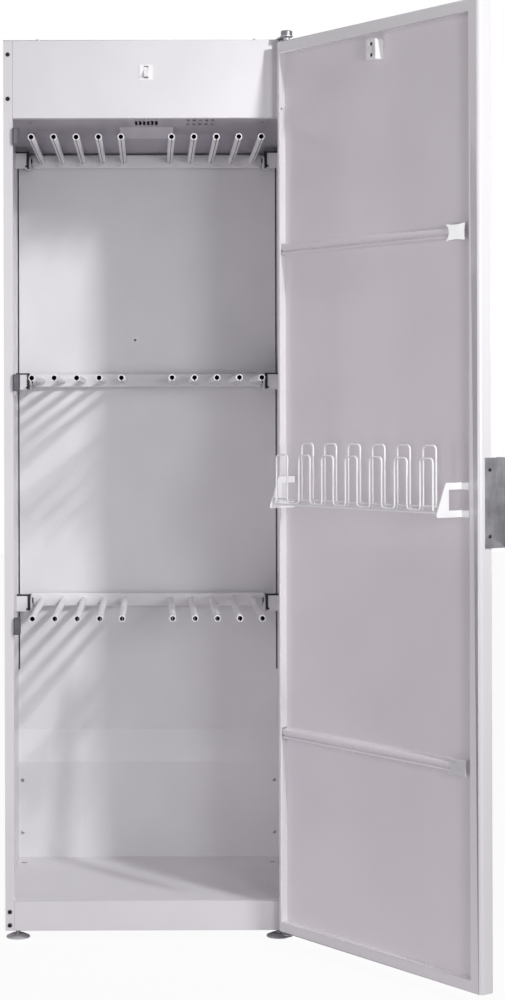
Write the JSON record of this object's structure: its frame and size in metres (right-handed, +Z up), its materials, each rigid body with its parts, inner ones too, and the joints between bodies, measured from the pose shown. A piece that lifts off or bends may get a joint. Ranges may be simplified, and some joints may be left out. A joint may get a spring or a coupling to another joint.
{
  "type": "drying cabinet",
  "caption": "Tall steel drying cabinet with an open swing door, folding racks of open pipes, a wire glove rack on the door, a ceiling fan grille, magnet catches and feet.",
  "frame": {"origin": "on the floor, under the middle of the cabinet's front plane", "axes": "+X to the cabinet's right seen from the front, +Y into the cabinet away from the viewer, +Z up"},
  "size_m": [0.9757, 1.0593, 1.94],
  "materials": {
    "shell": "satin white powder coat",
    "door": "semi-gloss white enamel",
    "rack": "smooth white powder coat",
    "steel": "brushed",
    "zinc": "zinc plated",
    "handle": "brushed and anodised",
    "white_plastic": "matt white",
    "dark_plastic": "matt black",
    "magnet": "matt grey",
    "dark_screw": "dark burnished",
    "heater": "dull oxidised"
  },
  "bodies": {
    "cabinet": {"left_side_panel": "shell", "right_side_panel": "shell", "top_panel": "shell", "back_panel": "shell", "base_panel": "shell", "header_panel": "shell", "plinth_panel": "shell", "floor_panel": "shell", "back_liner": "shell", "ceiling_panel": "shell", "service_panel": "shell", "air_deflector": "shell", "stile_screws": "zinc", "panel_screws": "zinc", "top_screws": "zinc", "exhaust_collar": "zinc", "foot_pads": "dark_plastic", "foot_studs": "zinc", "top_hinge_bracket": "zinc", "lower_hinge_bracket": "zinc", "top_hinge_pin": "steel", "lower_hinge_pin": "steel", "magnet_housings": "magnet", "magnet_plates": "steel", "switch_body": "white_plastic", "fan_housing": "dark_plastic", "fan_motor": "heater", "heater_frame": "zinc", "heater_rods": "heater", "terminal_box": "dark_plastic", "cable_gland": "dark_plastic", "upper_rack_brackets": "rack", "upper_rack_pivots": "dark_plastic", "upper_rack_bar": "rack", "upper_rack_pipes": "rack", "middle_rack_brackets": "rack", "middle_rack_pivots": "dark_plastic", "lower_rack_brackets": "rack", "lower_rack_pivots": "dark_plastic"},
    "door": {"door_shell": "door", "door_inner_panel": "door", "upper_rail": "door", "lower_rail": "door", "rail_end_plates": "door", "hinge_bushes": "zinc", "strike_block": "white_plastic", "strike_screws": "dark_screw", "handle": "handle", "handle_screws": "dark_screw", "glove_rack_arms": "rack", "glove_rack_front_loops": "rack", "glove_rack_back_loops": "rack", "glove_rack_rods": "rack"},
    "middle_rack": {"middle_rack_bar": "rack", "middle_rack_pipes": "rack"},
    "lower_rack": {"lower_rack_bar": "rack", "lower_rack_pipes": "rack"},
    "lever": {"switch_lever": "white_plastic"},
    "fan": {"fan_wheel": "steel", "fan_shaft": "steel"}
  },
  "joints": [
    {"name": "door_hinge", "type": "hinge", "parent": "cabinet", "child": "door", "pos_m": [0.2935, -0.028, 0.95], "axis": [0, 0, 1], "range_deg": [-125.2, 45]},
    {"name": "middle_rack_fold", "type": "hinge", "parent": "cabinet", "child": "middle_rack", "pos_m": [0, 0.426, 1.1805], "axis": [-1, 0, 0], "range_deg": [0, 92]},
    {"name": "lower_rack_fold", "type": "hinge", "parent": "cabinet", "child": "lower_rack", "pos_m": [0, 0.426, 0.676], "axis": [-1, 0, 0], "range_deg": [0, 92]},
    {"name": "switch_press", "type": "hinge", "parent": "cabinet", "child": "lever", "pos_m": [0, 0.004, 1.8315], "axis": [1, 0, 0], "range_deg": [-7.4, 20.2]},
    {"name": "fan_spin", "type": "hinge", "parent": "cabinet", "child": "fan", "pos_m": [0, 0.1, 1.76], "axis": [0, 0, 1], "continuous": true}
  ],
  "couplings": [
    {"joint": "switch_press", "follows": "door_hinge", "ratio": -0.16}
  ]
}
